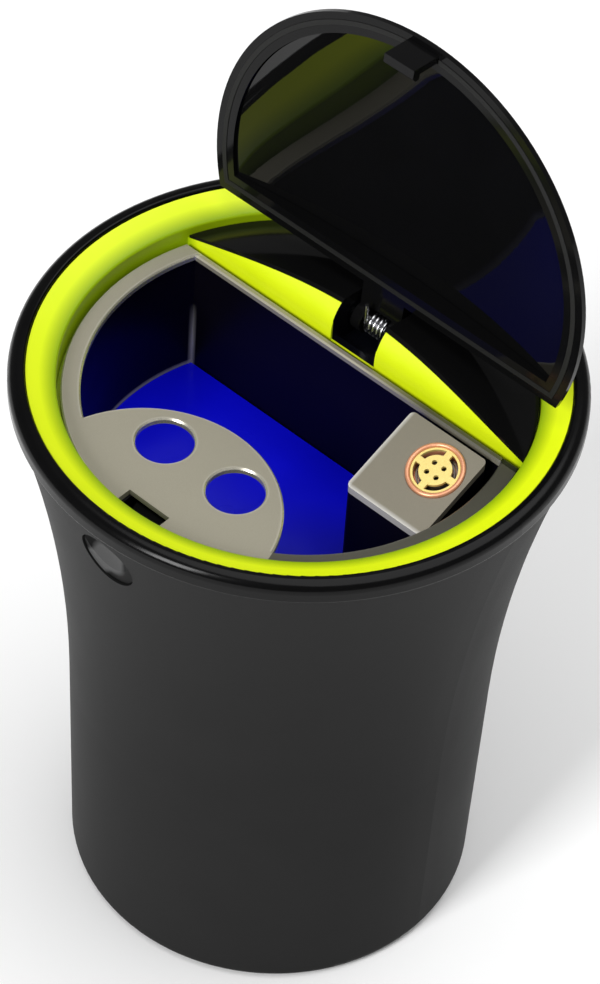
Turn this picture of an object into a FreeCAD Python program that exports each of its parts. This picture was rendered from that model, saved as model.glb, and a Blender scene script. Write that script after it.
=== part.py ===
import FreeCAD, Part
import math
import os

# Cup-holder ashtray with a spring lid, a lit tub and a lighter that lifts out.
# Millimetres and degrees. +Z is up, the origin is the centre of the foot, the lid's hinge
# is at the back (+Y), the release button at the front (-Y) and the lighter on the right (+X).
# The lid is drawn shut and then turned to its open stop, which is how the part is stored.

V = FreeCAD.Vector
X_AXIS = V(1, 0, 0)
Y_AXIS = V(0, 1, 0)
Z_AXIS = V(0, 0, 1)
ORIGIN = V(0, 0, 0)
BEYOND = 200.0              # reach of cutting blocks, past every part of the object

# Cup
FOOT_STEP = 0.4             # cup's underside above the surface it stands on
BASE_RADIUS = 33.3
BASE_ROUND = 1.6
NECK_HEIGHT = 42.0          # where the straight taper turns into the flare
NECK_STEP = 0.7             # neck wider than the base, by radius
CUP_HEIGHT = 105.2
CUP_WALL = 1.8
CUP_FLOOR = 3.0
FOOT_INSET = 6.3            # foot pad inside the base
FOOT_THICKNESS = 1.6
FOOT_CLEARANCE = 0.1

# Gloss rim bead
RIM_WIDTH = 2.65
RIM_OVERHANG = 0.55         # bead past the cup's mouth
RIM_RISE = 3.4              # bead above the cup's mouth
RIM_ROUND = 1.7
RIM_TUCK = 0.35             # bottom edge of the bead, rounded in
RIM_SKIRT = 3.2             # plug that goes down inside the cup
RIM_SKIRT_WALL = 1.4
RIM_CLEARANCE = 0.15

# Lime funnel ring
FUNNEL_SINK = 0.5           # funnel's outer edge below the top of the bead
FUNNEL_DROP = 1.8           # fall from the outer edge to the lip
FUNNEL_EDGE = 1.9           # thickness of the outer edge
FUNNEL_THICKNESS = 1.4
FUNNEL_CLEARANCE = 0.1
FUNNEL_WIDTH = 4.55
LIP_STEP = 2.35             # funnel's lip wider than the neck, by radius
LIP_ROUND = 0.5
WELL_WALL = 1.2             # wall that drops from the lip
LEDGE_THICKNESS = 1.4       # ledge that carries the tub
UNDERCUT_GAP = 0.3

# Silver plate
PLATE_SINK = 2.6            # plate's top below the lip
PLATE_THICKNESS = 1.0
PLATE_SIDE_GAP = 0.65       # plate's edge to the lime walls
PLATE_RIM = 3.0             # width of the silver ring round the opening
PLATE_OVERHANG = 0.3        # plate past the tub's walls
PLATE_EDGE = 0.25           # broken upper edges
PANEL_RADIUS = 20.3         # rounded edge of the front panel
PANEL_APEX = -13.0          # where that edge is nearest to the middle
SNUFFER_RADIUS = 4.45
SNUFFER_SPACING = 14.3
SNUFFER_BACK = -21.55
SLOT_SIDE_GAP = 1.2         # slot beside the hook
SLOT_BACK_GAP = 0.5         # slot behind the hook's nose

# Ash tub and its lit floor
TUB_WALL = 1.2
TUB_FLANGE = 1.4
TUB_DEPTH = 23.7            # from the plate's top to the lit floor
TUB_FLOOR = 1.4
TUB_LEDGE_GAP = 0.4
TUB_BACK_GAP = 0.25
LENS_THICKNESS = 1.5
LENS_GAP = 0.2

# Lid, hinge and deck
HINGE_BACK = 18.4           # hinge axis behind the middle
HINGE_RISE = 0.45           # hinge axis above the lid's underside
OPEN_ANGLE = 95.3
BARREL_RADIUS = 6.35        # round front of the bridge, about the hinge axis
BRIDGE_WALL = 1.5
SWING_GAP = 0.35            # lid's back edge to the bridge
LID_GAP = 0.35              # shut lid to the silver plate
LID_SIDE_GAP = 0.55         # shut lid to the lip
LID_EDGE = 0.9              # height of the lid's straight side
LID_WALL = 1.5              # depth of the arm's root in the lid
LID_RIM = 3.4               # flat border round the liner
LINER_SINK = 0.7
LINER_THICKNESS = 0.8
LINER_GAP = 0.1
LINER_CURVE = 200.0         # radius of the hollow of the liner
SEAL_INSET = 1.2            # seal from the lid's side
SEAL_WIDTH = 0.9
SEAL_DEPTH = 0.6
SEAL_PROUD = 0.1
DOME_RISE = 5.85            # lid's crown above its edge
DECK_SIDE_GAP = 0.3
DECK_THICKNESS = 1.6
DECK_LIP = 0.5              # deck's thin front edge over the bridge
DECK_SEAT_GAP = 0.06
NOTCH_WIDTH = 8.8
NOTCH_SILL = 0.8            # bottom of the notch below the plate's top
STOP_GAP = 0.3              # open arm to the end of the notch
PIN_RADIUS = 1.0
PIN_FIT = 0.02
RUNNING_FIT = 0.05
EAR_LENGTH = 3.0
EAR_BACK = 2.6              # ear behind the hinge axis
KNUCKLE_RADIUS = 2.4
ARM_SIDE_GAP = 0.35         # arm to the sides of the notch
ARM_RISE = 3.0              # arm's top above the hinge axis, lid shut
ARM_REACH = 5.2             # where the arm's sloping top begins, in front of the hinge axis
LID_DECK_GAP = 0.4          # open lid's edge to the deck
SPRING_WIRE = 0.3           # wire radius
SPRING_COIL = 1.7           # mean coil radius
SPRING_TURNS = 4
SPRING_ROOM = 0.35
SPRING_LEG = 4.6            # leg up the lid's arm
SPRING_CLOSENESS = 1.15     # pitch of the coil over the wire's thickness
DECK_BOSS_RADIUS = 2.5
DECK_BOSS_INSET = 6.05      # boss inside the deck's edge
DECK_BOSS_ANGLE = 36.87     # boss from the back of the middle
SCREW_RADIUS = 0.9
SCREW_HEAD_RADIUS = 1.9
SCREW_HEAD = 1.2
SCREW_HEAD_EDGE = 0.4
SCREW_LENGTH = 4.6
THREAD_CLEARANCE = 0.03
HOLE_CLEARANCE = 0.2

# Release button and latch
BUTTON_RADIUS = 4.8
BUTTON_DROP = 6.8           # button's middle below the cup's mouth
BUTTON_GAP = 0.2
BUTTON_RECESS = 0.3
BUTTON_DISH = 0.5
BUTTON_DISH_RADIUS = 16.0
BUTTON_FLANGE = 0.8
BUTTON_SHOULDER = 0.8       # flange past the button's side
BUTTON_SEAT_GAP = 0.15
BUTTON_TRAVEL = 1.2
STEM_RADIUS = 1.0
STEM_LENGTH = 3.0
HOOK_WIDTH = 5.6
HOOK_THICKNESS = 1.2
HOOK_FRONT_GAP = 0.7        # hook to the plate's outer edge
HOOK_LENGTH = 5.5           # hook below the lid
HOOK_NOSE = 1.0
HOOK_NOSE_HEIGHT = 1.5
HOOK_LEAD = 0.7             # sloped tip of the nose
CATCH_GAP = 0.25            # nose below the latch's lip
CATCH_BITE = 0.5            # lip over the nose
LATCH_WIDTH = 6.0
LATCH_WALL = 1.2
LATCH_LIP = 1.4
LATCH_ROOM = 1.4            # upright behind the nose
LATCH_BAR = 3.2
LATCH_BAR_GAP = 1.0         # bar under the hook's tip
POCKET_GAP = 0.6            # pocket beside and under the latch
LEAF_ROOM = 0.6             # room for the bowed spring behind the pressed latch
LEAF_THICKNESS = 0.25
LEAF_HEIGHT = 3.0
LEAF_END_GAP = 0.4

# Lighter
LIGHTER_WALL_GAP = 2.03     # lighter's far corner to the round wall of the tub
LIGHTER_REAR_GAP = 1.5      # lighter to the straight wall of the tub
LIGHTER_WIDTH = 14.8
LIGHTER_DEPTH = 14.5
LIGHTER_LENGTH = 43.7       # from its base to the top of its back edge
LIGHTER_TILT = 20.0         # slope of its top, down to the front
LIGHTER_CORNER = 0.8
LIGHTER_WALL = 1.2
LIGHTER_CAP = 1.2
LIGHTER_CROWN = 2.4         # solid top of the case under the cap
LIGHTER_CLEARANCE = 0.3
LIGHTER_FLOOR = 2.0
SOCKET_WALL = 1.2
SOCKET_CORNER = 2.0
COIL_RIGHT = 2.0            # coil from the lighter's middle
COIL_REAR = 1.85
COIL_RADIUS = 4.6
COIL_WALL = 0.75
COIL_PROUD = 0.5            # copper collar above the silver top
COIL_DEPTH = 2.6
COIL_COLLAR = 0.35
COIL_SINK = 0.35            # brass disc below the collar
COIL_DISC = 0.5
COIL_FIT = 0.05
COIL_RIBBON = 0.3           # heating ribbon, thickness and height
COIL_RIBBON_HEIGHT = 0.7
COIL_PITCH = 0.9
COIL_SPOKE = 1.1
COIL_HUB_RADIUS = 1.3
COIL_HOLE_RADIUS = 0.42
KEY_RADIUS = 2.5
KEY_DROP = 14.0             # lighter's key below its back edge
KEY_PROUD = 0.8
KEY_TRAVEL = 0.7
KEY_FLANGE = 0.8
KEY_SHOULDER = 0.7
KEY_GAP = 0.15
KEY_BOARD_GAP = 0.35
BOARD_THICKNESS = 0.8
BOARD_HEADROOM = 8.7        # board's top below the lighter's back edge
BOARD_SIDE_GAP = 0.3
CELL_GAP = 0.3
CELL_HEADROOM = 15.7

# Lamp board under the tub
LAMP_BOARD = 1.6
LAMP_BOARD_LENGTH = 33.0
LAMP_BOARD_WIDTH = 21.0
LAMP_BOARD_SIDE_GAP = 4.3   # board to the lighter's socket
LAMP_BOARD_BACK_GAP = 2.6   # board to the straight wall of the tub
LAMP_BOARD_CORNER = 2.0
LAMP_SIZE = 4.0
LAMP_HEIGHT = 1.3
LAMP_DOME_RADIUS = 1.6
LAMP_DOME = 0.3
LAMP_SPACING = 11.0
LAMP_WINDOW_RADIUS = 3.5
BOSS_HEIGHT = 2.0
BOSS_RADIUS = 2.2
BOSS_INSET = 2.8
HOLDER_WALL = 1.5
HOLDER_FLOOR = 0.8
HOLDER_MOUTH_RADIUS = 6.0
COIN_RADIUS = 10.0
COIN_THICKNESS = 3.2
COIN_CLEARANCE = 0.15

# Radii of the cup and its rings, from the base up and out
neck_radius = BASE_RADIUS + NECK_STEP
lip_radius = neck_radius + LIP_STEP
funnel_radius = lip_radius + FUNNEL_WIDTH
rim_inner = funnel_radius + FUNNEL_CLEARANCE
rim_radius = rim_inner + RIM_WIDTH
mouth_radius = rim_radius - RIM_OVERHANG
foot_radius = BASE_RADIUS - FOOT_INSET

# Heights that follow from the sizes above
cup_base = FOOT_STEP + BASE_ROUND
foot_seat = FOOT_THICKNESS
floor_top = foot_seat + CUP_FLOOR
rim_top = CUP_HEIGHT + RIM_RISE
funnel_top = rim_top - FUNNEL_SINK
rim_ledge = funnel_top - FUNNEL_EDGE
lip_top = funnel_top - FUNNEL_DROP
plate_top = lip_top - PLATE_SINK
flange_top = plate_top - PLATE_THICKNESS
ledge_top = flange_top - TUB_FLANGE
ledge_low = ledge_top - LEDGE_THICKNESS
lens_top = plate_top - TUB_DEPTH
lens_low = lens_top - LENS_THICKNESS
tub_low = lens_low - TUB_FLOOR
lid_low = plate_top + LID_GAP
dome_edge = lid_low + LID_EDGE
dome_top = dome_edge + DOME_RISE
liner_low = lid_low + LINER_SINK
hinge_height = lid_low + HINGE_RISE
HINGE = V(0, HINGE_BACK, hinge_height)

# Radii and chords that follow from the sizes above
plate_radius = lip_radius - PLATE_SIDE_GAP
opening_radius = plate_radius - PLATE_RIM
tub_radius = opening_radius + PLATE_OVERHANG
ledge_radius = tub_radius + TUB_WALL + TUB_LEDGE_GAP
lid_radius = lip_radius - LID_SIDE_GAP
deck_radius = lip_radius - DECK_SIDE_GAP
deck_boss_side = (deck_radius - DECK_BOSS_INSET) * math.sin(math.radians(DECK_BOSS_ANGLE))
deck_boss_back = (deck_radius - DECK_BOSS_INSET) * math.cos(math.radians(DECK_BOSS_ANGLE))
bridge_front = HINGE_BACK - BARREL_RADIUS
plate_chord = bridge_front - PLATE_SIDE_GAP
tub_chord = bridge_front - TUB_BACK_GAP - TUB_WALL
opening_chord = tub_chord - PLATE_OVERHANG
swing_radius = BARREL_RADIUS + SWING_GAP
lid_chord = HINGE_BACK - swing_radius
recess_radius = lid_radius - LID_RIM
recess_chord = lid_chord - LID_RIM
dome_radius = (lid_radius ** 2 + DOME_RISE ** 2) / (2 * DOME_RISE)
liner_centre = liner_low - math.sqrt(LINER_CURVE ** 2 - recess_radius ** 2)
DOME_CENTRE = V(0, 0, dome_top - dome_radius)
arm_half = NOTCH_WIDTH / 2 - ARM_SIDE_GAP
lean = math.radians(OPEN_ANGLE - 90)
notch_back = HINGE_BACK + ARM_REACH * math.sin(lean) + ARM_RISE * math.cos(lean) + STOP_GAP

# The flare is an arc that leaves the taper smoothly and ends at the mouth
taper_length = math.hypot(neck_radius - BASE_RADIUS, NECK_HEIGHT - cup_base)
taper_out = (neck_radius - BASE_RADIUS) / taper_length
taper_up = (NECK_HEIGHT - cup_base) / taper_length
flare_out = mouth_radius - neck_radius
flare_up = CUP_HEIGHT - NECK_HEIGHT
flare_bend = (flare_out ** 2 + flare_up ** 2) / (2 * (taper_up * flare_out - taper_out * flare_up))
flare_centre = (neck_radius + taper_up * flare_bend, NECK_HEIGHT - taper_out * flare_bend)


def flare_radius(height, inset=0.0):
    """Radius of the flared wall, or of a surface that lies inset inside it."""
    reach = (flare_bend + inset) ** 2 - (height - flare_centre[1]) ** 2
    return flare_centre[0] - math.sqrt(reach)


def flare_arc(low, high, inset=0.0):
    """Middle and end points of the flare's arc from one height to another."""
    middle = (low + high) / 2
    return (flare_radius(middle, inset), middle), (flare_radius(high, inset), high)


def quarter(centre, radius, start, end):
    """Middle and end points of an arc about a centre, from one angle to another."""
    def at(angle):
        turn = math.radians(angle)
        return (centre[0] + radius * math.cos(turn), centre[1] + radius * math.sin(turn))
    return at((start + end) / 2), at(end)


def in_section(radius, height):
    return V(radius, 0, height)


def in_plan(x, y):
    return V(x, y, 0)


def in_side(y, z):
    return V(0, y, z)


def outline(place, start, *moves):
    """Face inside an outline: a move is an end point, or an arc's middle and end points."""
    edges = []
    here = start
    for move in moves + (start,):
        stops = move if isinstance(move[0], tuple) else (move,)
        if math.dist(here, stops[-1]) < 1e-6:
            continue
        if len(stops) == 2:
            edges.append(Part.Arc(place(*here), place(*stops[0]), place(*stops[1])).toShape())
        else:
            edges.append(Part.LineSegment(place(*here), place(*stops[0])).toShape())
        here = stops[-1]
    return Part.Face(Part.Wire(edges))


def turned(start, *moves):
    return outline(in_section, start, *moves).revolve(ORIGIN, Z_AXIS, 360)


def raised(low, high, start, *moves):
    """Plan outline pulled up from one height to another."""
    face = outline(in_plan, start, *moves)
    face.translate(V(0, 0, low))
    return face.extrude(V(0, 0, high - low))


def spread(half_width, start, *moves):
    """Side outline pulled out to both sides of the middle."""
    face = outline(in_side, start, *moves)
    face.translate(V(-half_width, 0, 0))
    return face.extrude(V(2 * half_width, 0, 0))


def block(low, high):
    return Part.makeBox(high[0] - low[0], high[1] - low[1], high[2] - low[2], V(*low))


def rounded_block(low, high, corner):
    """Block with its four upright edges rounded."""
    body = block(low, high)
    upright = [edge for edge in body.Edges if abs(edge.tangentAt(edge.FirstParameter).z) > 0.5]
    return body.makeFillet(corner, upright)


def post(radius, low, high, x=0.0, y=0.0):
    return Part.makeCylinder(radius, high - low, V(x, y, low), Z_AXIS)


def along_hinge(radius, left, right):
    """Cylinder about the hinge axis."""
    return Part.makeCylinder(radius, right - left, V(left, HINGE_BACK, hinge_height), X_AXIS)


def d_slab(radius, chord, low, high):
    """Disc cut off straight behind its chord."""
    behind = block((-BEYOND, chord, low), (BEYOND, BEYOND, high))
    return post(radius, low, high).cut(behind)


def dome_ball(inset):
    return Part.makeSphere(dome_radius - inset, DOME_CENTRE)


def liner_ball(outset):
    return Part.makeSphere(LINER_CURVE + outset, V(0, 0, liner_centre))


def flare_band(outer_inset, inner_inset, low, high):
    """Ring between two surfaces that follow the flare."""
    return turned((flare_radius(low, inner_inset), low), (flare_radius(low, outer_inset), low),
                  flare_arc(low, high, outer_inset), (flare_radius(high, inner_inset), high),
                  flare_arc(high, low, inner_inset))


# Release button: shared places
button_height = CUP_HEIGHT - BUTTON_DROP
button_flange = BUTTON_RADIUS + BUTTON_SHOULDER
button_back = CUP_WALL + BUTTON_SEAT_GAP + BUTTON_FLANGE
flange_face = flare_radius(button_height, button_back)


def button_bore(radius, inner_y):
    """Cylinder along the button's travel, from outside the cup to inner_y."""
    return Part.makeCylinder(radius, BEYOND + inner_y, V(0, -BEYOND, button_height), Y_AXIS)


def outer_cup():
    inner_neck = (neck_radius - taper_up * CUP_WALL, NECK_HEIGHT + taper_out * CUP_WALL)
    inner_base = inner_neck[0] - (inner_neck[1] - floor_top) * taper_out / taper_up
    recess = foot_radius + FOOT_CLEARANCE
    base_corner = (BASE_RADIUS - BASE_ROUND, cup_base)
    shell = turned((0, foot_seat), (recess, foot_seat), (recess, FOOT_STEP), (base_corner[0], FOOT_STEP),
                   quarter(base_corner, BASE_ROUND, -90, 0), (neck_radius, NECK_HEIGHT),
                   flare_arc(NECK_HEIGHT, CUP_HEIGHT), (flare_radius(CUP_HEIGHT, CUP_WALL), CUP_HEIGHT),
                   flare_arc(CUP_HEIGHT, inner_neck[1], CUP_WALL), (inner_base, floor_top), (0, floor_top))
    return shell.cut(button_bore(BUTTON_RADIUS + BUTTON_GAP, -BASE_RADIUS))


def foot_pad():
    return post(foot_radius, 0, FOOT_THICKNESS)


# Inner face of the rim's plug, which the funnel's underside clears
skirt_low = CUP_HEIGHT - RIM_SKIRT
plug_inset = CUP_WALL + RIM_CLEARANCE
skirt_inner = flare_radius(skirt_low, plug_inset) - RIM_SKIRT_WALL


def rim_ring():
    bead = (rim_radius - RIM_ROUND, rim_top - RIM_ROUND)
    tuck = (rim_radius - RIM_TUCK, CUP_HEIGHT + RIM_TUCK)
    inner = (rim_inner + FUNNEL_SINK, funnel_top)
    ring = turned((rim_inner, rim_ledge), (rim_inner, funnel_top),
                  quarter(inner, FUNNEL_SINK, 180, 90), (bead[0], rim_top), quarter(bead, RIM_ROUND, 90, 0),
                  (rim_radius, tuck[1]), quarter(tuck, RIM_TUCK, 0, -90),
                  (flare_radius(CUP_HEIGHT, plug_inset), CUP_HEIGHT),
                  flare_arc(CUP_HEIGHT, skirt_low, plug_inset), (skirt_inner, skirt_low),
                  (skirt_inner, rim_ledge))
    side = button_flange + BUTTON_GAP
    top = button_height + side
    return ring.cut(block((-side, -BEYOND, skirt_low - side), (side, 0, top)))


def hinge_bridge():
    """Round-fronted wall before the hinge, with solid ears for the pin beside the notch."""
    front = block((-BEYOND, bridge_front, ledge_low), (BEYOND, bridge_front + BRIDGE_WALL, hinge_height))
    barrel = along_hinge(BARREL_RADIUS, -BEYOND, BEYOND)
    barrel = barrel.cut(along_hinge(BARREL_RADIUS - BRIDGE_WALL, -BEYOND, BEYOND))
    upper = block((-BEYOND, bridge_front, hinge_height), (BEYOND, HINGE_BACK, dome_top))
    wall = front.fuse(barrel.common(upper)).common(dome_ball(DECK_LIP + DECK_SEAT_GAP))
    ear_reach = NOTCH_WIDTH / 2 + EAR_LENGTH
    ears = along_hinge(BARREL_RADIUS - BRIDGE_WALL / 2, -ear_reach, ear_reach)
    ears = ears.common(block((-BEYOND, bridge_front, ledge_low), (BEYOND, HINGE_BACK + EAR_BACK, dome_top)))
    ears = ears.common(dome_ball(DECK_THICKNESS + DECK_SEAT_GAP))
    notch = block((-NOTCH_WIDTH / 2, 0, plate_top - NOTCH_SILL), (NOTCH_WIDTH / 2, BEYOND, dome_top))
    under = block((-NOTCH_WIDTH / 2, bridge_front + BRIDGE_WALL, ledge_top),
                  (NOTCH_WIDTH / 2, BEYOND, dome_top))
    bridge = wall.fuse(ears).cut(notch).cut(under)
    return bridge.cut(along_hinge(PIN_RADIUS + PIN_FIT, -ear_reach, ear_reach))


def accent_ring():
    outer = funnel_radius
    wall = lip_radius + WELL_WALL
    fall = math.degrees(math.atan2(FUNNEL_DROP, outer - lip_radius))
    lip = (lip_radius + LIP_ROUND, lip_top - LIP_ROUND)
    lip_end = quarter(lip, LIP_ROUND, 90 + fall, 90 + fall)[1]
    ring = turned((ledge_radius, ledge_low), (wall, ledge_low), (wall, lip_top - FUNNEL_THICKNESS),
                  (skirt_inner - UNDERCUT_GAP, rim_ledge), (outer, rim_ledge), (outer, funnel_top), lip_end,
                  quarter(lip, LIP_ROUND, 90 + fall, 180), (lip_radius, ledge_top), (ledge_radius, ledge_top))
    rear = block((-BEYOND, bridge_front, ledge_low), (BEYOND, BEYOND, ledge_top))
    inside = post(lip_radius + WELL_WALL / 2, ledge_low, dome_top)
    ring = ring.fuse(rear.fuse(hinge_bridge()).common(inside))
    side = HOOK_WIDTH / 2 + POCKET_GAP
    ring = ring.cut(block((-side, -lip_radius, ledge_low), (side, 0, ledge_top)))
    for x in (-deck_boss_side, deck_boss_side):
        ring = ring.cut(post(SCREW_RADIUS + HOLE_CLEARANCE, ledge_low, ledge_top, x, deck_boss_back))
    return ring


def rear_deck():
    """Domed cover behind the bridge, in line with the shut lid."""
    behind = block((-BEYOND, HINGE_BACK, ledge_top), (BEYOND, BEYOND, dome_top))
    footprint = behind.fuse(along_hinge(BARREL_RADIUS, -BEYOND, BEYOND))
    inside = post(deck_radius, ledge_top, dome_top)
    cover = dome_ball(0).cut(dome_ball(DECK_THICKNESS)).common(inside).common(footprint)
    seat_inner = BARREL_RADIUS - BRIDGE_WALL - DECK_SEAT_GAP
    seat = along_hinge(swing_radius, -BEYOND, BEYOND).cut(along_hinge(seat_inner, -BEYOND, BEYOND))
    seat = seat.common(block((-BEYOND, 0, ledge_top), (BEYOND, HINGE_BACK, dome_top)))
    cover = cover.cut(seat.common(dome_ball(DECK_LIP)))
    skirt = inside.cut(post(deck_radius - DECK_THICKNESS, ledge_top, dome_top))
    skirt = skirt.common(block((-BEYOND, HINGE_BACK, ledge_top), (BEYOND, BEYOND, dome_top)))
    bosses = [post(DECK_BOSS_RADIUS, ledge_top, dome_top, x, deck_boss_back)
              for x in (-deck_boss_side, deck_boss_side)]
    legs = skirt.multiFuse(bosses).common(dome_ball(DECK_THICKNESS / 2))
    deck = cover.fuse(legs)
    deck = deck.cut(block((-NOTCH_WIDTH / 2, 0, ledge_top), (NOTCH_WIDTH / 2, notch_back, dome_top)))
    for x in (-deck_boss_side, deck_boss_side):
        pilot = ledge_low + SCREW_LENGTH
        deck = deck.cut(post(SCREW_RADIUS + THREAD_CLEARANCE, ledge_top, pilot, x, deck_boss_back))
    return deck


def screw(x, y, seat, length):
    """Pan-headed screw driven upwards against a seat."""
    low = seat - SCREW_HEAD
    shape = turned((0, low), (SCREW_HEAD_RADIUS - SCREW_HEAD_EDGE, low),
                   (SCREW_HEAD_RADIUS, low + SCREW_HEAD_EDGE), (SCREW_HEAD_RADIUS, seat),
                   (SCREW_RADIUS, seat), (SCREW_RADIUS, seat + length), (0, seat + length))
    shape.translate(V(x, y, 0))
    return shape


def deck_screws():
    return Part.makeCompound([screw(x, deck_boss_back, ledge_low, SCREW_LENGTH)
                              for x in (-deck_boss_side, deck_boss_side)])


def hinge_pin():
    reach = NOTCH_WIDTH / 2 + EAR_LENGTH
    return along_hinge(PIN_RADIUS, -reach, reach)


spring_half = SPRING_WIRE * (SPRING_TURNS + 0.5) * SPRING_CLOSENESS
spring_room = SPRING_COIL + SPRING_WIRE + SPRING_ROOM


def hinge_spring():
    """Torsion spring round the pin, one leg on the floor of the notch and one up the lid's arm."""
    length = 2 * spring_half
    path = Part.makeHelix(length / SPRING_TURNS, length, SPRING_COIL)
    start = path.Edges[0].valueAt(path.Edges[0].FirstParameter)
    wire = Part.Wire([Part.Circle(start, Y_AXIS, SPRING_WIRE).toShape()])
    coil = Part.Wire(path.Edges).makePipeShell([wire], True, True)
    floor_leg = hinge_height - ledge_top - RUNNING_FIT
    legs = [Part.makeCylinder(SPRING_WIRE, SPRING_LEG, V(SPRING_COIL, 0, 0), V(0, -1, 0)),
            Part.makeCylinder(SPRING_WIRE, floor_leg, V(SPRING_COIL, 0, length), V(0, 1, 0))]
    spring = coil.multiFuse(legs)
    spring.rotate(ORIGIN, Z_AXIS, -90)
    spring.rotate(ORIGIN, Y_AXIS, 90)
    spring.translate(HINGE - V(spring_half, 0, 0))
    return spring


def tray_plate():
    """Silver plate: ring, front panel with snuffer holes, and the latch slot."""
    plate = d_slab(plate_radius, plate_chord, flange_top, plate_top)
    panel = post(PANEL_RADIUS, flange_top, plate_top, 0, PANEL_APEX - PANEL_RADIUS)
    plate = plate.cut(d_slab(opening_radius, opening_chord, flange_top, plate_top).cut(panel))
    for x in (-SNUFFER_SPACING / 2, SNUFFER_SPACING / 2):
        plate = plate.cut(post(SNUFFER_RADIUS, flange_top, plate_top, x, SNUFFER_BACK))
    upper = [edge for edge in plate.Edges if edge.BoundBox.ZMin > plate_top - PLATE_EDGE]
    plate = plate.makeChamfer(PLATE_EDGE, upper)
    slot_half = HOOK_WIDTH / 2 + SLOT_SIDE_GAP
    slot_back = nose_tip + SLOT_BACK_GAP
    return plate.cut(block((-slot_half, -BEYOND, flange_top), (slot_half, slot_back, plate_top)))


# Latch: hook on the lid, lip on the button's slide, pocket in the tub. Y places, front to back.
hook_front = HOOK_FRONT_GAP - plate_radius
hook_back = hook_front + HOOK_THICKNESS
nose_tip = hook_back + HOOK_NOSE
hook_tip = lid_low - HOOK_LENGTH
nose_top = hook_tip + HOOK_NOSE_HEIGHT
lip_front = nose_tip - CATCH_BITE
upright_front = nose_tip + LATCH_ROOM
upright_back = upright_front + LATCH_WALL
pocket_back = upright_back + BUTTON_TRAVEL + LEAF_ROOM
bar_top = hook_tip - LATCH_BAR_GAP
bar_low = bar_top - LATCH_BAR
bar_middle = (bar_top + bar_low) / 2
pocket_half = LATCH_WIDTH / 2 + POCKET_GAP
pocket_low = bar_low - POCKET_GAP

# Lighter: outline and sloped top
lighter_rear = tub_chord - LIGHTER_REAR_GAP
lighter_front = lighter_rear - LIGHTER_DEPTH
lighter_right = math.sqrt((tub_radius - LIGHTER_WALL_GAP) ** 2 - lighter_rear ** 2)
lighter_left = lighter_right - LIGHTER_WIDTH
lighter_back = (lighter_front + lighter_rear) / 2
coil_side = (lighter_left + lighter_right) / 2 + COIL_RIGHT
coil_back = lighter_back + COIL_REAR
lighter_low = plate_top - LIGHTER_LENGTH
socket_low = lighter_low - SOCKET_WALL


def lighter_block(inset, low, high, corner):
    """Upright block with the lighter's outline, drawn in by inset or out by a negative one."""
    return rounded_block((lighter_left + inset, lighter_front + inset, low),
                         (lighter_right - inset, lighter_rear - inset, high), corner)


def under_slope(depth):
    """Everything below a plane that lies a depth under the lighter's sloped top."""
    space = block((-BEYOND, -BEYOND, -BEYOND), (BEYOND, BEYOND, -depth))
    space.rotate(ORIGIN, X_AXIS, LIGHTER_TILT)
    space.translate(V(0, lighter_rear, plate_top))
    return space


def on_slope(shape):
    """Moves a shape from the origin to the coil's seat on the sloped top."""
    drop = (lighter_rear - coil_back) * math.tan(math.radians(LIGHTER_TILT))
    shape.rotate(ORIGIN, X_AXIS, LIGHTER_TILT)
    shape.translate(V(coil_side, coil_back, plate_top - drop))
    return shape


lamp_board_top = tub_low - BOSS_HEIGHT
lamp_board_low = lamp_board_top - LAMP_BOARD
lamp_board_right = lighter_left - LIGHTER_CLEARANCE - SOCKET_WALL - LAMP_BOARD_SIDE_GAP
lamp_board_left = lamp_board_right - LAMP_BOARD_LENGTH
lamp_board_back = tub_chord - LAMP_BOARD_BACK_GAP
lamp_board_front = lamp_board_back - LAMP_BOARD_WIDTH
lamp_board_middle = ((lamp_board_left + lamp_board_right) / 2, (lamp_board_front + lamp_board_back) / 2)
lamp_places = [(lamp_board_middle[0] + step * LAMP_SPACING, lamp_board_middle[1]) for step in (-1, 0, 1)]
boss_places = [(x, y) for x in (lamp_board_left + BOSS_INSET, lamp_board_right - BOSS_INSET)
               for y in (lamp_board_front + BOSS_INSET, lamp_board_back - BOSS_INSET)]
board_screw_length = LAMP_BOARD + BOSS_HEIGHT


def ash_tub():
    """D-shaped tub with a flange, a pocket for the latch, and the socket the lighter stands in."""
    tub = d_slab(tub_radius + TUB_WALL, tub_chord + TUB_WALL, tub_low, flange_top)
    tub = tub.fuse(d_slab(plate_radius, tub_chord + TUB_WALL, ledge_top, flange_top))
    tub = tub.cut(d_slab(tub_radius, tub_chord, lens_low, flange_top))
    pocket_wall = block((-pocket_half - TUB_WALL, -tub_radius - TUB_WALL / 2, pocket_low - TUB_WALL),
                        (pocket_half + TUB_WALL, pocket_back + TUB_WALL, flange_top))
    tub = tub.fuse(pocket_wall.common(post(tub_radius + TUB_WALL / 2, tub_low, flange_top)))
    tub = tub.cut(block((-pocket_half, -BEYOND, pocket_low), (pocket_half, pocket_back, flange_top)))
    tub = tub.fuse(lighter_block(-LIGHTER_CLEARANCE - SOCKET_WALL, socket_low, lens_low, SOCKET_CORNER))
    tub = tub.multiFuse([post(BOSS_RADIUS, lamp_board_top, lens_low, x, y) for x, y in boss_places])
    tub = tub.cut(lighter_block(-LIGHTER_CLEARANCE, lighter_low, lens_low, LIGHTER_CORNER))
    for x, y in lamp_places:
        tub = tub.cut(post(LAMP_WINDOW_RADIUS, tub_low, lens_low, x, y))
    for x, y in boss_places:
        tub = tub.cut(post(SCREW_RADIUS + THREAD_CLEARANCE, lamp_board_top, tub_low, x, y))
    return tub


def floor_lens():
    lens = d_slab(tub_radius - LENS_GAP, tub_chord - LENS_GAP, lens_low, lens_top)
    return lens.cut(lighter_block(-LIGHTER_CLEARANCE, lens_low, lens_top, LIGHTER_CORNER))


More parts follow.
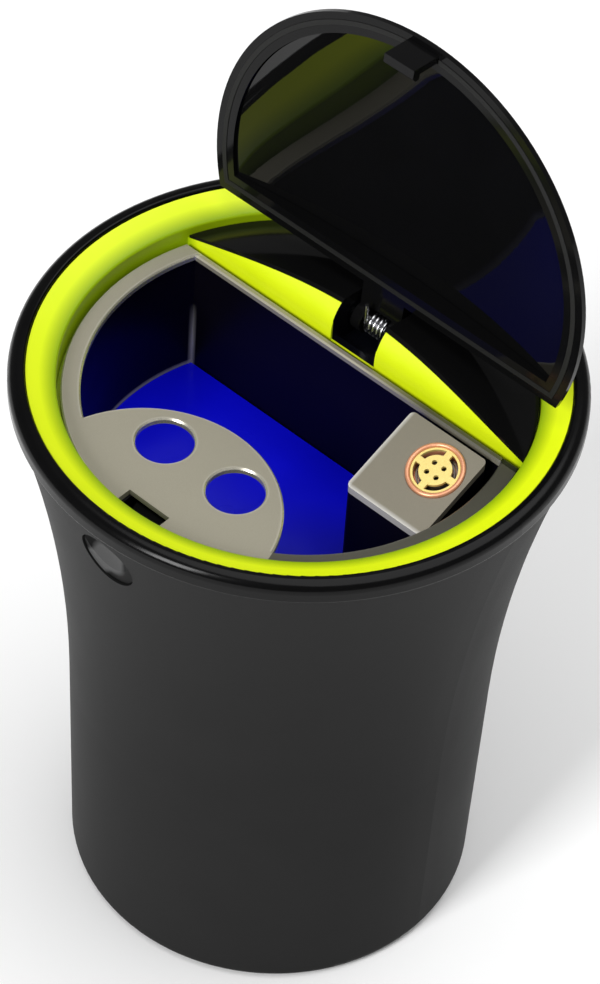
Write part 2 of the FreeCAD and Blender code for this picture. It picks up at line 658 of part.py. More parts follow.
def led_board():
    board = rounded_block((lamp_board_left, lamp_board_front, lamp_board_low),
                          (lamp_board_right, lamp_board_back, lamp_board_top), LAMP_BOARD_CORNER)
    for x, y in boss_places:
        board = board.cut(post(SCREW_RADIUS + HOLE_CLEARANCE, lamp_board_low, lamp_board_top, x, y))
    return board


def led_lamps():
    half = LAMP_SIZE / 2
    top = lamp_board_top + LAMP_HEIGHT
    lamps = []
    for x, y in lamp_places:
        body = block((x - half, y - half, lamp_board_top), (x + half, y + half, top))
        lamps.append(body.fuse(post(LAMP_DOME_RADIUS, top, top + LAMP_DOME, x, y)))
    return Part.makeCompound(lamps)


def board_screws():
    return Part.makeCompound([screw(x, y, lamp_board_low, board_screw_length) for x, y in boss_places])


def cell_holder():
    x, y = lamp_board_middle
    inner = COIN_RADIUS + COIN_CLEARANCE
    floor = lamp_board_low - COIN_THICKNESS - COIN_CLEARANCE
    holder = post(inner + HOLDER_WALL, floor - HOLDER_FLOOR, lamp_board_low, x, y)
    holder = holder.cut(post(inner, floor, lamp_board_low, x, y))
    return holder.cut(post(HOLDER_MOUTH_RADIUS, floor - HOLDER_FLOOR, floor, x, y))


def lamp_cell():
    x, y = lamp_board_middle
    floor = lamp_board_low - COIN_THICKNESS - COIN_CLEARANCE
    return post(COIN_RADIUS, floor, floor + COIN_THICKNESS, x, y)


def release_button():
    """Round button that follows the flare, with a finger dish, a flange and a stem."""
    face = flare_band(BUTTON_RECESS, button_back, NECK_HEIGHT + CUP_WALL, CUP_HEIGHT)
    button = face.common(button_bore(BUTTON_RADIUS, -BASE_RADIUS))
    flange = flare_band(CUP_WALL + BUTTON_SEAT_GAP, button_back, NECK_HEIGHT + CUP_WALL, CUP_HEIGHT)
    button = button.fuse(flange.common(button_bore(button_flange, -BASE_RADIUS)))
    dish_back = flare_radius(button_height, BUTTON_RECESS) - BUTTON_DISH
    dish_centre = V(0, -dish_back - BUTTON_DISH_RADIUS, button_height)
    button = button.cut(Part.makeSphere(BUTTON_DISH_RADIUS, dish_centre))
    stem_front = -flange_face - BUTTON_FLANGE / 2
    length = BUTTON_FLANGE / 2 + STEM_LENGTH
    return button.fuse(Part.makeCylinder(STEM_RADIUS, length, V(0, stem_front, bar_middle), Y_AXIS))


def latch_slide():
    """Slide on the button's stem: a bar under the hook and an upright whose lip holds the nose."""
    bar_front = -flange_face + BUTTON_SEAT_GAP + STEM_LENGTH / 3
    lip_low = nose_top + CATCH_GAP
    lip_high = lip_low + LATCH_LIP
    slide = spread(LATCH_WIDTH / 2, (bar_front, bar_low), (upright_back, bar_low), (upright_back, lip_high),
                   (upright_front, lip_high), (lip_front, lip_low + LATCH_LIP / 3), (lip_front, lip_low),
                   (upright_front, lip_low), (upright_front, bar_top), (bar_front, bar_top))
    stem_end = -flange_face + STEM_LENGTH
    socket_start = V(0, bar_front, bar_middle)
    return slide.cut(Part.makeCylinder(STEM_RADIUS + PIN_FIT, stem_end - bar_front, socket_start, Y_AXIS))


def button_spring():
    """Bowed leaf between the latch and the back of its pocket."""
    half = pocket_half - LEAF_END_GAP
    crown = upright_back + LEAF_END_GAP / 4
    end = pocket_back
    return raised(bar_middle - LEAF_HEIGHT / 2, bar_middle + LEAF_HEIGHT / 2, (-half, end),
                  ((0, crown), (half, end)), (half - LEAF_THICKNESS, end),
                  ((0, crown + LEAF_THICKNESS), (LEAF_THICKNESS - half, end)))


def opened(shape):
    """Turns a piece of the lid from shut to its open stop."""
    shape.rotate(HINGE, X_AXIS, -OPEN_ANGLE)
    return shape


def seal_ring(low, high, inset=0.0):
    """D-shaped ring in the middle of the lid's border."""
    outer = d_slab(lid_radius - SEAL_INSET - inset, lid_chord - SEAL_INSET - inset, low, high)
    inner = SEAL_INSET + SEAL_WIDTH - inset
    return outer.cut(d_slab(lid_radius - inner, lid_chord - inner, low, high))


def lid_arm():
    """Arm from the lid's back edge to the pin, split round the spring."""
    arm_top = hinge_height + ARM_RISE
    root = lid_chord - LID_WALL / 2
    arm = spread(arm_half, (root, lid_low), (HINGE_BACK, lid_low),
                 (HINGE_BACK, hinge_height + KNUCKLE_RADIUS), (HINGE_BACK - ARM_REACH, arm_top),
                 (root, arm_top))
    arm = arm.fuse(along_hinge(KNUCKLE_RADIUS, -arm_half, arm_half))
    gap = spring_half + SPRING_WIRE + SPRING_ROOM
    arm = arm.cut(along_hinge(max(spring_room, KNUCKLE_RADIUS + SPRING_ROOM), -gap, gap))
    return arm.cut(along_hinge(PIN_RADIUS + RUNNING_FIT, -arm_half, arm_half))


def lid_hook():
    return spread(HOOK_WIDTH / 2, (hook_front, lid_low + LID_EDGE / 2), (hook_front, hook_tip),
                  (nose_tip - HOOK_LEAD, hook_tip), (nose_tip, hook_tip + HOOK_LEAD), (nose_tip, nose_top),
                  (hook_back, nose_top), (hook_back, lid_low + LID_EDGE / 2))


def lid_shell():
    """Domed D-shaped lid with its border, the recess for the liner, the hinge arm and the hook."""
    middle = math.asin(lid_radius / dome_radius) / 2
    crown = (dome_radius * math.sin(middle), DOME_CENTRE.z + dome_radius * math.cos(middle))
    lid = turned((0, lid_low), (lid_radius, lid_low), (lid_radius, dome_edge), (crown, (0, dome_top)))
    lid = lid.cut(along_hinge(swing_radius, -BEYOND, BEYOND))
    lid = lid.cut(block((-BEYOND, HINGE_BACK, lid_low), (BEYOND, BEYOND, dome_top)))
    relief = dome_ball(-LID_DECK_GAP)
    relief.rotate(HINGE, X_AXIS, OPEN_ANGLE)
    lid = lid.cut(relief)
    lid = lid.cut(d_slab(recess_radius, recess_chord, lid_low, dome_top).common(liner_ball(LINER_THICKNESS)))
    lid = lid.cut(seal_ring(lid_low, lid_low + SEAL_DEPTH))
    return opened(lid.fuse(lid_arm()).fuse(lid_hook()))


def lid_liner():
    """Hollow mirror plate of even thickness."""
    disc = d_slab(recess_radius - LINER_GAP, recess_chord - LINER_GAP, lid_low, dome_top)
    return opened(disc.common(liner_ball(LINER_THICKNESS)).cut(liner_ball(0)))


def lid_seal():
    """Seal in the lid's border, open at the hook."""
    seal = seal_ring(lid_low - SEAL_PROUD, lid_low + SEAL_DEPTH, RUNNING_FIT)
    side = HOOK_WIDTH / 2 + SEAL_PROUD
    return opened(seal.cut(block((-side, -BEYOND, lid_low - SEAL_PROUD), (side, 0, lid_low + SEAL_DEPTH))))


def coil_bore(radius, top, bottom):
    return on_slope(post(radius, bottom, top))


def lighter_case():
    """Square tube with a solid sloped crown that carries the coil."""
    case = lighter_block(0, lighter_low, plate_top, LIGHTER_CORNER).common(under_slope(LIGHTER_CAP))
    room = lighter_block(LIGHTER_WALL, lighter_low, plate_top, LIGHTER_CORNER / 2)
    case = case.cut(room.common(under_slope(LIGHTER_CAP + LIGHTER_CROWN)))
    case = case.cut(coil_bore(COIL_RADIUS + COIL_FIT, COIL_PROUD, -COIL_DEPTH))
    return case.cut(key_bore(KEY_RADIUS + KEY_GAP, lighter_left, lighter_left + LIGHTER_WALL))


def lighter_cap():
    cap = lighter_block(0, lighter_low, plate_top, LIGHTER_CORNER)
    cap = cap.common(under_slope(0)).cut(under_slope(LIGHTER_CAP))
    return cap.cut(coil_bore(COIL_RADIUS + COIL_FIT, COIL_PROUD, -COIL_DEPTH))


def lighter_base():
    inset = LIGHTER_WALL + COIL_FIT
    return lighter_block(inset, lighter_low, lighter_low + LIGHTER_FLOOR, LIGHTER_CORNER / 2)


# Key of the lighter, on its left side
key_height = plate_top - KEY_DROP
key_flange = KEY_RADIUS + KEY_SHOULDER
key_inner = lighter_left + LIGHTER_WALL + KEY_GAP
board_left = key_inner + KEY_FLANGE + KEY_TRAVEL + KEY_BOARD_GAP
board_right = board_left + BOARD_THICKNESS
cell_radius = (lighter_right - LIGHTER_WALL - board_right) / 2 - CELL_GAP


def key_bore(radius, left, right):
    return Part.makeCylinder(radius, right - left, V(left, lighter_back, key_height), X_AXIS)


def lighter_button():
    key = key_bore(KEY_RADIUS, lighter_left - KEY_PROUD, key_inner + KEY_FLANGE)
    face = [edge for edge in key.Edges if edge.BoundBox.XMax < lighter_left and edge.Closed]
    key = key.makeFillet(KEY_PROUD / 2, face)
    return key.fuse(key_bore(key_flange, key_inner, key_inner + KEY_FLANGE))


def lighter_board():
    side = LIGHTER_WALL + BOARD_SIDE_GAP
    bottom = lighter_low + LIGHTER_FLOOR
    return block((board_left, lighter_front + side, bottom),
                 (board_right, lighter_rear - side, plate_top - BOARD_HEADROOM))


def lighter_cell():
    bottom = lighter_low + LIGHTER_FLOOR
    x = board_right + CELL_GAP + cell_radius
    return post(cell_radius, bottom, plate_top - CELL_HEADROOM, x, lighter_back)


# Coil: levels above the sloped top
cup_floor = COIL_WALL - COIL_DEPTH
disc_top = COIL_PROUD - COIL_SINK
disc_low = disc_top - COIL_DISC
disc_radius = COIL_RADIUS - COIL_WALL - COIL_FIT


def coil_cup():
    """Copper cup with a rolled collar."""
    inner = COIL_RADIUS - COIL_WALL
    bead = ((COIL_RADIUS + inner) / 2, COIL_PROUD - COIL_WALL / 2)
    cup = turned((0, -COIL_DEPTH), (COIL_RADIUS, -COIL_DEPTH), (COIL_RADIUS, bead[1]),
                 quarter(bead, COIL_WALL / 2, 0, 90), quarter(bead, COIL_WALL / 2, 90, 180),
                 (inner, disc_low), (inner - COIL_COLLAR, disc_low), (inner - COIL_COLLAR, cup_floor),
                 (0, cup_floor))
    return on_slope(cup)


def coil_plate():
    """Brass disc: four arched slots at the edge, between the arms of a cross, and four small holes."""
    disc = post(disc_radius, disc_low, disc_top)
    slot_outer = disc_radius - COIL_COLLAR
    slot_inner = (COIL_HUB_RADIUS + disc_radius) / 2
    slots = post(slot_outer, disc_low, disc_top).cut(post(slot_inner, disc_low, disc_top))
    for long_x in (True, False):
        half = (BEYOND, COIL_SPOKE / 2) if long_x else (COIL_SPOKE / 2, BEYOND)
        slots = slots.cut(block((-half[0], -half[1], disc_low), (half[0], half[1], disc_top)))
    disc = disc.cut(slots)
    for turn in (45, 135, 225, 315):
        x = COIL_HUB_RADIUS * math.cos(math.radians(turn))
        y = COIL_HUB_RADIUS * math.sin(math.radians(turn))
        disc = disc.cut(post(COIL_HOLE_RADIUS, disc_low, disc_top, x, y))
    return on_slope(disc)


def coil_ribbon():
    """Flat spiral of half circles on the cup's floor, wound from the middle out."""
    limit = disc_radius - COIL_COLLAR - COIL_FIT
    outer = []
    inner = []
    radius = COIL_PITCH / 2
    side = 1
    centre = 0.0
    while abs(centre) + radius + COIL_RIBBON / 2 <= limit:
        for edge, grown in ((outer, radius + COIL_RIBBON / 2), (inner, radius - COIL_RIBBON / 2)):
            edge.append(((centre - side * grown, 0), (centre, side * grown), (centre + side * grown, 0)))
        centre -= side * COIL_PITCH / 4
        radius += COIL_PITCH / 4
        side = -side
    there = [arc[1:] for arc in outer]
    back = [(arc[1], arc[0]) for arc in reversed(inner)]
    top = cup_floor + COIL_RIBBON_HEIGHT
    return on_slope(raised(cup_floor, top, outer[0][0], *there, inner[-1][2], *back))


PIECES = [outer_cup, foot_pad, rim_ring, accent_ring, rear_deck, deck_screws, hinge_pin, hinge_spring,
          tray_plate, ash_tub, floor_lens, led_board, led_lamps, board_screws, cell_holder, lamp_cell,
          release_button, latch_slide, button_spring, lid_shell, lid_liner, lid_seal,
          lighter_case, lighter_cap, lighter_base, lighter_button, lighter_board, lighter_cell,
          coil_cup, coil_plate, coil_ribbon]

os.makedirs("parts", exist_ok=True)
for piece in PIECES:
    piece().exportStep("parts/" + piece.__name__ + ".step")
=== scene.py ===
import math

import bmesh
import bpy
from mathutils import Matrix, Vector

# Cup-holder ashtray with a sprung lid: finishes for its solids, and a pale studio.
# Metres. +Z is up, +Y goes to the lid's hinge, -Y to the release button, +X to the lighter.

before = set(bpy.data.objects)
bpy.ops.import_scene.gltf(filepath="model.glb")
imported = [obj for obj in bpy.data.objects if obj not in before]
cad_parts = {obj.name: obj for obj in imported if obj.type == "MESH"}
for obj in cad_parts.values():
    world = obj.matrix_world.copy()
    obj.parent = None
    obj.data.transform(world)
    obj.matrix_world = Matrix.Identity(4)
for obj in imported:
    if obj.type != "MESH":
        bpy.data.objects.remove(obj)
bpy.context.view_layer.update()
MM = 0.001

# Photograph's view
CAMERA_AZIMUTH = 39.3
CAMERA_ELEVATION = 47.22
CAMERA_DISTANCE = 0.6133
CAMERA_TARGET = Vector((0.00099, 0.00081, 0.08149))
CAMERA_ROLL = 4.087
CAMERA_LENS = 145.6
CAMERA_NEAR = 0.01

# Studio
FLOOR_SIZE = 12.0
SKY_LEVEL = 0.2
TOP_STRENGTH = 1.95
TOP_SPREAD = 70.0
TOP_DIRECTION = Vector((0.15, 0.2, 1.0))
BOX_POWER = 29.0
BOX_SIZE = (0.56, 0.9)
BOX_PLACE = Vector((-0.06, -1.66, 1.17))

# Places on the solids that the finishes follow
HOLE_RADIUS = 4.45 * MM
HOLE_PLACES = ((-7.15 * MM, -21.55 * MM), (7.15 * MM, -21.55 * MM))
PANEL_CENTRE = (0.0, -33.3 * MM)
PANEL_RADIUS = 20.3 * MM
PLATE_RADIUS = 35.7 * MM
OPENING_RADIUS = 32.7 * MM
OPENING_BACK = 10.3 * MM
CAP_LEFT = 14.8 * MM
CAP_FRONT = -5.4 * MM
LIP_RADIUS = 36.6 * MM
TUB_CORNER = (-31.25 * MM, 10.6 * MM)
TUB_RADIUS = 33.0 * MM
FLOOR_HEIGHT = 80.0 * MM
BUTTON_HEIGHT = 98.4 * MM
NOTCH_HALF = 4.47 * MM
NOTCH_FRONT = 12.4 * MM
NOTCH_BACK = 30.0 * MM

# Shut lid's hinge, the ball of its dome and the ball of its hollow liner
HINGE = Vector((0.0, 18.4, 104.5)) * MM
OPEN_ANGLE = 95.3
DOME_RADIUS = 112.47 * MM
DOME_CROWN = Vector((0.0, 0.0, 110.8)) * MM
LINER_RADIUS = 200.0 * MM
LINER_CROWN = Vector((0.0, 0.0, 107.39)) * MM
CROWN_REACH = 4.0 * MM
OUTSIDE = 1
INSIDE = -1

# Patterns that several finishes share
SATIN_GRAIN = 0.16 * MM
SATIN_DEPTH = 0.012 * MM
SMEAR_DEPTH = 0.004 * MM
FLAKE_SIZE = 0.09 * MM
FLAKE_DEPTH = 0.006 * MM

# A Mix node's two sources and its result, for each kind of data
MIX_SOCKETS = {"VECTOR": (4, 5, 1), "RGBA": (6, 7, 2)}


def linear(red, green, blue):
    """Linear colour from the 0 to 255 levels that a picture shows."""
    def level(value):
        share = value / 255
        return share / 12.92 if share <= 0.04045 else ((share + 0.055) / 1.055) ** 2.4
    return (level(red), level(green), level(blue), 1.0)


def opened(place):
    """Where a place on the shut lid is when the lid stands open."""
    return HINGE + Matrix.Rotation(math.radians(-OPEN_ANGLE), 3, "X") @ (place - HINGE)


class Wire:
    """A shader socket that takes part in arithmetic: each operator adds a Math node."""

    def __init__(self, finish, socket):
        self.finish = finish
        self.socket = socket

    def math(self, operation, first, second=0.0):
        return self.finish.node("ShaderNodeMath", {"operation": operation}, {0: first, 1: second})

    def __add__(self, other):
        return self.math("ADD", self, other)

    def __radd__(self, other):
        return self.math("ADD", other, self)

    def __sub__(self, other):
        return self.math("SUBTRACT", self, other)

    def __rsub__(self, other):
        return self.math("SUBTRACT", other, self)

    def __mul__(self, other):
        return self.math("MULTIPLY", self, other)

    def __rmul__(self, other):
        return self.math("MULTIPLY", other, self)

    def __gt__(self, other):
        return self.math("GREATER_THAN", self, other)

    def __lt__(self, other):
        return self.math("LESS_THAN", self, other)

    def __abs__(self):
        return self.math("ABSOLUTE", self)


class Finish:
    """A material in the making: its nodes, its shader and the piece's own coordinates."""

    def __init__(self, name, **constants):
        self.material = bpy.data.materials.new(name)
        self.material.use_nodes = True
        self.tree = self.material.node_tree
        self.shader = self.tree.nodes["Principled BSDF"]
        for socket, value in constants.items():
            self.shader.inputs[socket.replace("_", " ")].default_value = value
        self.place = self.node("ShaderNodeTexCoord", output="Object")

    def node(self, kind, settings=None, inputs=None, output=0):
        """Adds a node of any kind: its settings first, then the values or links of its sockets."""
        made = self.tree.nodes.new(kind)
        for name, value in (settings or {}).items():
            setattr(made, name, value)
        for key, value in (inputs or {}).items():
            if isinstance(value, Wire):
                self.tree.links.new(value.socket, made.inputs[key])
            else:
                made.inputs[key].default_value = value
        return Wire(self, made.outputs[output])

    def noise(self, size, detail=2.0, stretch=(1.0, 1.0, 1.0)):
        """Cloudy pattern from 0 to 1 whose blotches are about this size in metres."""
        place = self.node("ShaderNodeMapping", inputs={"Vector": self.place, "Scale": stretch})
        return self.node("ShaderNodeTexNoise", inputs={"Vector": place, "Scale": 1 / size, "Detail": detail})

    def along(self, axis):
        """Place along an axis."""
        return self.node("ShaderNodeSeparateXYZ", inputs={"Vector": self.place}, output=axis)

    def vector(self, operation, first, second, output=0):
        """Vector Math on two vectors."""
        return self.node("ShaderNodeVectorMath", {"operation": operation}, {0: first, 1: second}, output)

    def reach(self, centre):
        """Level distance from an upright line."""
        flat = self.node("ShaderNodeMapping", inputs={"Vector": self.place, "Scale": (1.0, 1.0, 0.0)})
        return self.vector("DISTANCE", flat, (*centre, 0.0), output="Value")

    def ramp(self, value, start, end):
        """0 at the start, 1 at the end and even in between."""
        return self.node("ShaderNodeMapRange", inputs={"Value": value, "From Min": start, "From Max": end})

    def near(self, value, target, width):
        """1 at a target, down to 0 at a width from it."""
        return self.ramp(abs(value - target), width, 0.0)

    def blend(self, share, first, second, kind="RGBA"):
        """Colour or vector between two others."""
        one, two, result = MIX_SOCKETS[kind]
        return self.node("ShaderNodeMix", {"data_type": kind},
                         {"Factor": share, one: first, two: second}, output=result)

    def bump(self, height, depth, normal=None):
        """Normal of a surface whose height varies by a depth in metres, on its own or a given normal."""
        inputs = {"Height": height, "Distance": depth, "Strength": 1.0}
        if normal:
            inputs["Normal"] = normal
        return self.node("ShaderNodeBump", inputs=inputs)

    def dome_bump(self, height, depth, crown, radius, side):
        """Bump of one side of the lid's dome or liner, with the normal of a true ball about its crown."""
        centre = opened(crown - Vector((0.0, 0.0, radius)))
        away = self.vector("SUBTRACT", self.place, centre)
        facing = self.vector("MULTIPLY", away, Vector((1.0, 1.0, 1.0)) * (side / radius))
        turn = {"vector_type": "NORMAL", "convert_from": "OBJECT", "convert_to": "WORLD"}
        ball = self.node("ShaderNodeVectorTransform", turn, {0: facing})
        at_crown = self.vector("DISTANCE", self.place, opened(crown), output="Value") < CROWN_REACH
        return self.blend(at_crown, self.bump(height, depth), self.bump(height, depth, ball), "VECTOR")

    def feed(self, **sources):
        """Links what varies over the surface to the shader."""
        for socket, source in sources.items():
            self.tree.links.new(source.socket, self.shader.inputs[socket.replace("_", " ")])
        return self.material


def cup_satin():
    finish = Finish("cup_satin", Specular_IOR_Level=0.03)
    mottle = finish.noise(size=14 * MM, detail=3.0)
    grain = finish.noise(size=SATIN_GRAIN)
    colour = finish.blend(mottle, linear(34, 34, 34), linear(39, 39, 39))
    return finish.feed(Base_Color=colour, Roughness=0.38 + 0.08 * mottle + 0.06 * grain,
                       Normal=finish.bump(grain, SATIN_DEPTH))


def button_satin():
    """Satin grey with painted shade of the gap round it, at the button's lower right and at its top left."""
    finish = Finish("button_satin", Specular_IOR_Level=0.03)
    grain = finish.noise(size=SATIN_GRAIN)
    across = finish.along("X")
    up = finish.along("Z") - BUTTON_HEIGHT
    radius = across.math("SQRT", across * across + up * up)
    low = finish.ramp(across - 0.7 * up, start=1.4 * MM, end=2.4 * MM)
    top = finish.ramp(up - 0.9 * across, start=2.2 * MM, end=3.2 * MM)
    # Painted shade: the gap's shadow drawn dark on the button's face, at its lower right and top left
    shade = finish.ramp(radius, start=2.4 * MM, end=3.4 * MM) * (low + top)
    colour = finish.blend(shade, linear(74, 74, 74), linear(2, 2, 2))
    return finish.feed(Base_Color=colour, Roughness=0.36 + 0.1 * grain,
                       Normal=finish.bump(grain, SATIN_DEPTH))


def gloss_black(name, shine, rough, level, dome=None):
    finish = Finish(name, Specular_IOR_Level=shine)
    smear = finish.noise(size=9 * MM, detail=4.0)
    dust = finish.noise(size=0.25 * MM, detail=1.0)
    colour = finish.blend(smear, linear(level, level, level), linear(level + 5, level + 5, level + 6))
    if dome:
        normal = finish.dome_bump(smear, SMEAR_DEPTH, *dome)
    else:
        normal = finish.bump(smear, SMEAR_DEPTH)
    return finish.feed(Base_Color=colour, Roughness=rough * (0.6 + smear + 0.5 * dust), Normal=normal)


def lime_plastic():
    """Bright lime, with painted shade at the funnel's foot and a painted dark shade inside the hinge's
    notch.
    """
    finish = Finish("lime_plastic", Specular_IOR_Level=0.4)
    cloud = finish.noise(size=11 * MM, detail=3.0)
    grain = finish.noise(size=0.2 * MM)
    bright = finish.blend(cloud, linear(226, 249, 10), linear(238, 255, 26))
    # Painted shade: darker, greener lime towards the foot of the funnel
    lip_shade = finish.near(finish.reach((0.0, 0.0)), LIP_RADIUS, width=2.3 * MM)
    lime = finish.blend(0.8 * lip_shade, bright, linear(112, 154, 0))
    # Painted shade: the lime inside the hinge's notch drawn near black
    back = finish.along("Y")
    notch = (abs(finish.along("X")) < NOTCH_HALF) * (back > NOTCH_FRONT) * (back < NOTCH_BACK)
    colour = finish.blend(notch, lime, linear(7, 8, 14))
    return finish.feed(Base_Color=colour, Roughness=0.34 + 0.1 * cloud - 0.2 * notch,
                       Normal=finish.bump(grain, 0.008 * MM))


def silver_paint():
    """Flaked silver, with painted highlights along its cut edges and painted shade at the right of its outer
    ring.
    """
    finish = Finish("silver_paint", Specular_IOR_Level=0.5)
    flake = finish.noise(size=FLAKE_SIZE, detail=1.0)
    cloud = finish.noise(size=7 * MM, detail=3.0)
    middle = finish.reach((0.0, 0.0))
    panel = finish.reach(PANEL_CENTRE)
    # Painted highlight: pale lines along the panel's arc, the opening's rim, the plate's rim and the snuffer
    # holes, where the finish is also glossier and more metallic
    edge_highlight = finish.near(panel, PANEL_RADIUS, width=0.6 * MM) * (middle < OPENING_RADIUS)
    edge_highlight = edge_highlight + finish.near(middle, OPENING_RADIUS, width=0.6 * MM) * (panel > PANEL_RADIUS)
    edge_highlight = edge_highlight + finish.near(middle, PLATE_RADIUS, width=0.4 * MM)
    for place in HOLE_PLACES:
        edge_highlight = edge_highlight + finish.near(finish.reach(place), HOLE_RADIUS, width=0.55 * MM)
    paint = finish.blend(flake, linear(148, 143, 126), linear(174, 169, 152))
    highlighted = finish.blend(edge_highlight, paint, linear(216, 212, 198))
    # Painted shade on the outer ring's right part and on the strip behind the opening, deepening towards +X
    ring = (middle > OPENING_RADIUS) * (panel > PANEL_RADIUS) + (finish.along("Y") > OPENING_BACK)
    shaded = 0.8 * finish.ramp(finish.along("X"), start=2 * MM, end=16 * MM) * ring
    colour = finish.blend(shaded, highlighted, linear(34, 36, 28))
    return finish.feed(Base_Color=colour, Roughness=0.34 + 0.12 * flake + 0.06 * cloud - 0.2 * edge_highlight,
                       Metallic=0.35 + 0.25 * flake + 0.3 * edge_highlight, Normal=finish.bump(flake, FLAKE_DEPTH))


def cap_silver():
    """Flaked silver of the lighter's top, with painted highlights along its left and front edges."""
    finish = Finish("cap_silver", Specular_IOR_Level=0.4)
    flake = finish.noise(size=FLAKE_SIZE, detail=1.0)
    cloud = finish.noise(size=4 * MM, detail=3.0)
    # Painted highlight along the cap's left and front edges
    left = finish.near(finish.along("X"), CAP_LEFT, width=0.7 * MM)
    front = finish.near(finish.along("Y"), CAP_FRONT, width=0.7 * MM)
    paint = finish.blend(flake, linear(122, 117, 104), linear(146, 140, 124))
    colour = finish.blend(left + front, paint, linear(208, 206, 200))
    return finish.feed(Base_Color=colour, Roughness=0.34 + 0.12 * flake + 0.06 * cloud,
                       Metallic=0.3 + 0.2 * flake, Normal=finish.bump(flake, FLAKE_DEPTH))


def tub_plastic():
    """Near-black plastic with a painted highlight line at the tub's left corner and round its floor."""
    finish = Finish("tub_plastic", Specular_IOR_Level=0.12)
    cloud = finish.noise(size=6 * MM, detail=4.0)
    grain = finish.noise(size=0.18 * MM)
    height = finish.along("Z")
    # Painted highlight: a pale line up the tub's left corner and round the foot of its wall
    corner = finish.near(finish.reach(TUB_CORNER), 0.0, width=0.8 * MM)
    corner = corner * finish.ramp(height, start=93 * MM, end=84 * MM)
    wall = finish.near(finish.reach((0.0, 0.0)), TUB_RADIUS, width=0.3 * MM)
    foot = wall * finish.near(height, FLOOR_HEIGHT, width=0.7 * MM)
    dark = finish.blend(cloud, linear(5, 4, 8), linear(8, 6, 13))
    colour = finish.blend(corner + foot, dark, linear(190, 188, 180))
    return finish.feed(Base_Color=colour, Roughness=0.3 + 0.12 * cloud,
                       Normal=finish.bump(grain, 0.006 * MM))


def lens_blue():
    """Lit blue floor, with painted shade darkening it towards its front right."""
    finish = Finish("lens_blue", Specular_IOR_Level=0.4, Emission_Strength=0.17)
    cloud = finish.noise(size=16 * MM)
    grain = finish.noise(size=0.3 * MM)
    # Painted shade, deepening towards the front right, in both colour and glow
    front_right_shade = finish.ramp(finish.along("X") - finish.along("Y"), start=0.0, end=36 * MM)
    lit = finish.blend(cloud, linear(5, 6, 196), linear(8, 10, 222))
    colour = finish.blend(front_right_shade, lit, linear(18, 20, 104))
    return finish.feed(Base_Color=colour, Emission_Color=colour, Roughness=0.2 + 0.12 * cloud,
                       Normal=finish.bump(grain, 0.01 * MM))


def bright_metal(name, dark, light, rough, stretch=(1.0, 1.0, 1.0), metal=1.0):
    finish = Finish(name, Metallic=metal)
    streak = finish.noise(size=0.2 * MM, detail=3.0, stretch=stretch)
    colour = finish.blend(streak, dark, light)
    return finish.feed(Base_Color=colour, Roughness=rough + 0.12 * streak,
                       Normal=finish.bump(streak, 0.003 * MM))


def rubber():
    finish = Finish("rubber", Specular_IOR_Level=0.25)
    grain = finish.noise(size=0.3 * MM, detail=3.0)
    colour = finish.blend(grain, linear(22, 22, 22), linear(34, 34, 34))
    return finish.feed(Base_Color=colour, Roughness=0.62 + 0.2 * grain,
                       Normal=finish.bump(grain, 0.03 * MM))


def circuit_board():
    """Green board with lighter, raised tracks."""
    finish = Finish("circuit_board", Specular_IOR_Level=0.5)
    pattern = finish.noise(size=1.4 * MM, detail=0.0, stretch=(1.0, 0.25, 1.0))
    track = pattern > 0.56
    colour = finish.blend(track, linear(12, 70, 38), linear(30, 112, 62))
    return finish.feed(Base_Color=colour, Roughness=0.3 + 0.1 * pattern,
                       Normal=finish.bump(track, 0.02 * MM))


def lamp_white():
    finish = Finish("lamp_white", Specular_IOR_Level=0.5, Emission_Strength=0.3)
    cloud = finish.noise(size=2 * MM)
    colour = finish.blend(cloud, linear(210, 215, 240), linear(240, 243, 255))
    return finish.feed(Base_Color=colour, Emission_Color=colour, Roughness=0.25 + 0.15 * cloud)


def dress(material, *names):
    """Gives CAD nodes their finish."""
    for name in names:
        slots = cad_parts[name].data.materials
        slots.clear()
        slots.append(material)


steel = bright_metal("bright_steel", linear(190, 190, 194), linear(225, 225, 228), 0.14)
can = bright_metal("plated_can", linear(150, 150, 154), linear(190, 190, 194), 0.22, (1.0, 1.0, 0.1))
copper = bright_metal("copper_plate", linear(226, 140, 100), linear(255, 196, 156), 0.3, metal=0.5)
brass = bright_metal("brass_sheet", linear(240, 206, 110), linear(255, 242, 160), 0.3, metal=0.4)
heater = bright_metal("heater_ribbon", linear(90, 84, 80), linear(140, 132, 126), 0.3)
gloss = gloss_black("gloss_black", 0.12, 0.08, 11)
tub_dark = tub_plastic()
board = circuit_board()

dress(cup_satin(), "outer_cup")
dress(button_satin(), "release_button")
dress(gloss, "rear_deck", "latch_slide")
dress(gloss_black("lid_gloss", 0.12, 0.08, 11, (DOME_CROWN, DOME_RADIUS, OUTSIDE)), "lid_shell")
dress(gloss_black("rim_gloss", 0.16, 0.14, 3), "rim_ring")
dress(gloss_black("liner_gloss", 0.32, 0.015, 9, (LINER_CROWN, LINER_RADIUS, INSIDE)), "lid_liner")
dress(lime_plastic(), "accent_ring")
dress(silver_paint(), "tray_plate")
dress(cap_silver(), "lighter_cap")
dress(tub_dark, "ash_tub", "cell_holder", "lighter_case", "lighter_base", "lighter_button")
dress(lens_blue(), "floor_lens")
dress(steel, "hinge_pin", "hinge_spring", "deck_screws", "board_screws", "button_spring")
dress(rubber(), "foot_pad", "lid_seal")
dress(board, "led_board", "lighter_board")
dress(can, "lamp_cell", "lighter_cell")
dress(lamp_white(), "led_lamps")
dress(copper, "coil_cup")
dress(brass, "coil_plate")
dress(heater, "coil_ribbon")


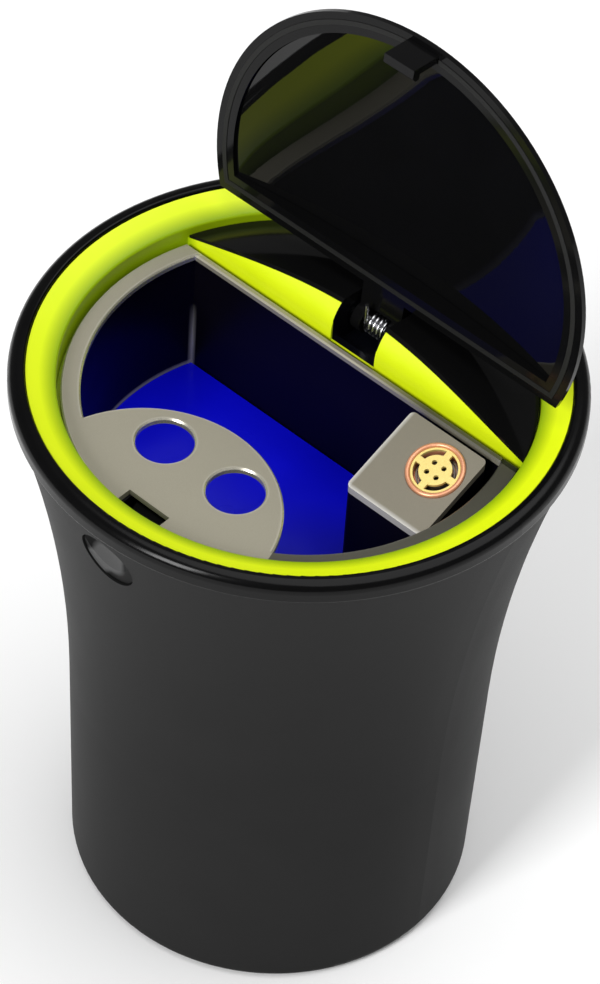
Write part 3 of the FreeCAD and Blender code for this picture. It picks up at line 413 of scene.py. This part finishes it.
def studio():
    """Pale floor, broad top light, one soft box in front and a grey sky."""
    sheet = bmesh.new()
    bmesh.ops.create_grid(sheet, x_segments=1, y_segments=1, size=FLOOR_SIZE / 2)
    mesh = bpy.data.meshes.new("floor")
    sheet.to_mesh(mesh)
    sheet.free()
    floor = bpy.data.objects.new("floor", mesh)
    bpy.context.scene.collection.objects.link(floor)
    finish = Finish("floor_white", Roughness=0.9, Specular_IOR_Level=0.0)
    cloud = finish.noise(size=0.4)
    white = finish.blend(cloud, linear(251, 251, 251), linear(253, 253, 253))
    mesh.materials.append(finish.feed(Base_Color=white))

    top = bpy.data.lights.new("top_light", "SUN")
    top.energy = TOP_STRENGTH
    top.angle = math.radians(TOP_SPREAD)
    box = bpy.data.lights.new("soft_box", "AREA")
    box.shape = "RECTANGLE"
    box.size, box.size_y = BOX_SIZE
    box.energy = BOX_POWER
    lights = ((top, TOP_DIRECTION, TOP_DIRECTION), (box, BOX_PLACE, BOX_PLACE - CAMERA_TARGET))
    for light, place, back in lights:
        lamp = bpy.data.objects.new(light.name, light)
        lamp.matrix_world = Matrix.Translation(place) @ back.to_track_quat("Z", "Y").to_matrix().to_4x4()
        bpy.context.scene.collection.objects.link(lamp)

    world = bpy.data.worlds.new("studio")
    bpy.context.scene.world = world
    world.use_nodes = True
    sky = world.node_tree.nodes["Background"]
    sky.inputs["Color"].default_value = (SKY_LEVEL, SKY_LEVEL, SKY_LEVEL, 1.0)


def camera():
    """Camera at the photograph's place, rolled as it was held."""
    azimuth = math.radians(CAMERA_AZIMUTH)
    elevation = math.radians(CAMERA_ELEVATION)
    back = Vector((math.sin(azimuth) * math.cos(elevation), -math.cos(azimuth) * math.cos(elevation),
                   math.sin(elevation)))
    data = bpy.data.cameras.new("camera")
    data.lens = CAMERA_LENS
    data.clip_start = CAMERA_NEAR
    eye = bpy.data.objects.new("camera", data)
    turn = (-back).to_track_quat("-Z", "Y").to_matrix() @ Matrix.Rotation(math.radians(CAMERA_ROLL), 3, "Z")
    eye.matrix_world = Matrix.Translation(CAMERA_TARGET + back * CAMERA_DISTANCE) @ turn.to_4x4()
    bpy.context.scene.collection.objects.link(eye)
    bpy.context.scene.camera = eye


studio()
camera()
bpy.context.scene.view_settings.view_transform = "Standard"
